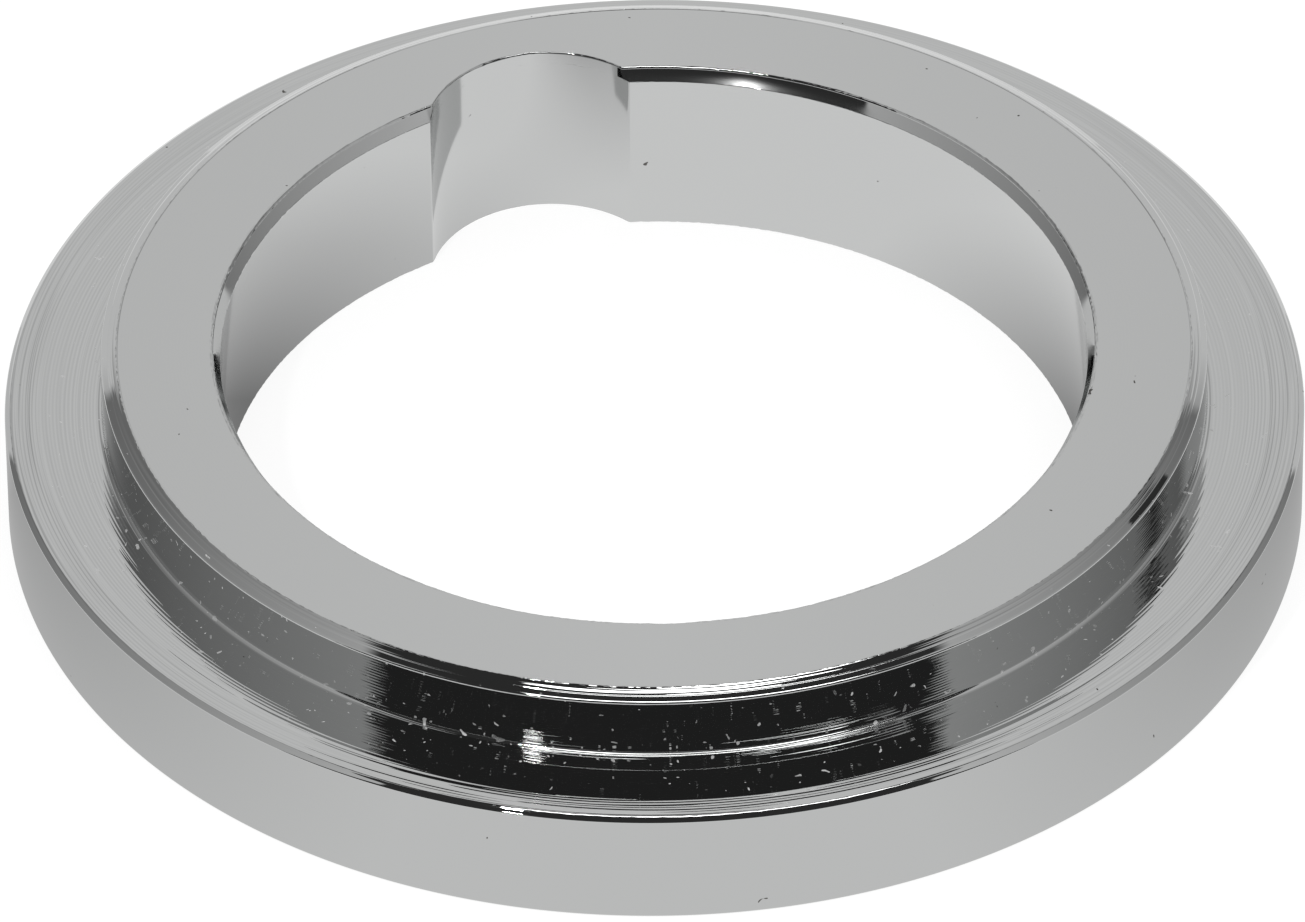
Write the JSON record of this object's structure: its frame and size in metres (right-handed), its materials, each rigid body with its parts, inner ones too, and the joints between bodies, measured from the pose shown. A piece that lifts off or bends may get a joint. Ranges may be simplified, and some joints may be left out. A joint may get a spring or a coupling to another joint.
{
  "type": "tap rosette",
  "caption": "Round chrome-plated spacer ring for a tap, with a wide flange, a raised chamfered boss and a bore with a round notch down its wall.",
  "frame": {"origin": "centre of the flat underside, on the bore's axis", "axes": "+Z along the bore from the underside to the boss, +Y towards the notch"},
  "size_m": [0.05, 0.05, 0.0076],
  "materials": {
    "chrome_plate": "bright plated over fine turning marks"
  },
  "bodies": {
    "root": {"rosette": "chrome_plate"}
  },
  "joints": []
}
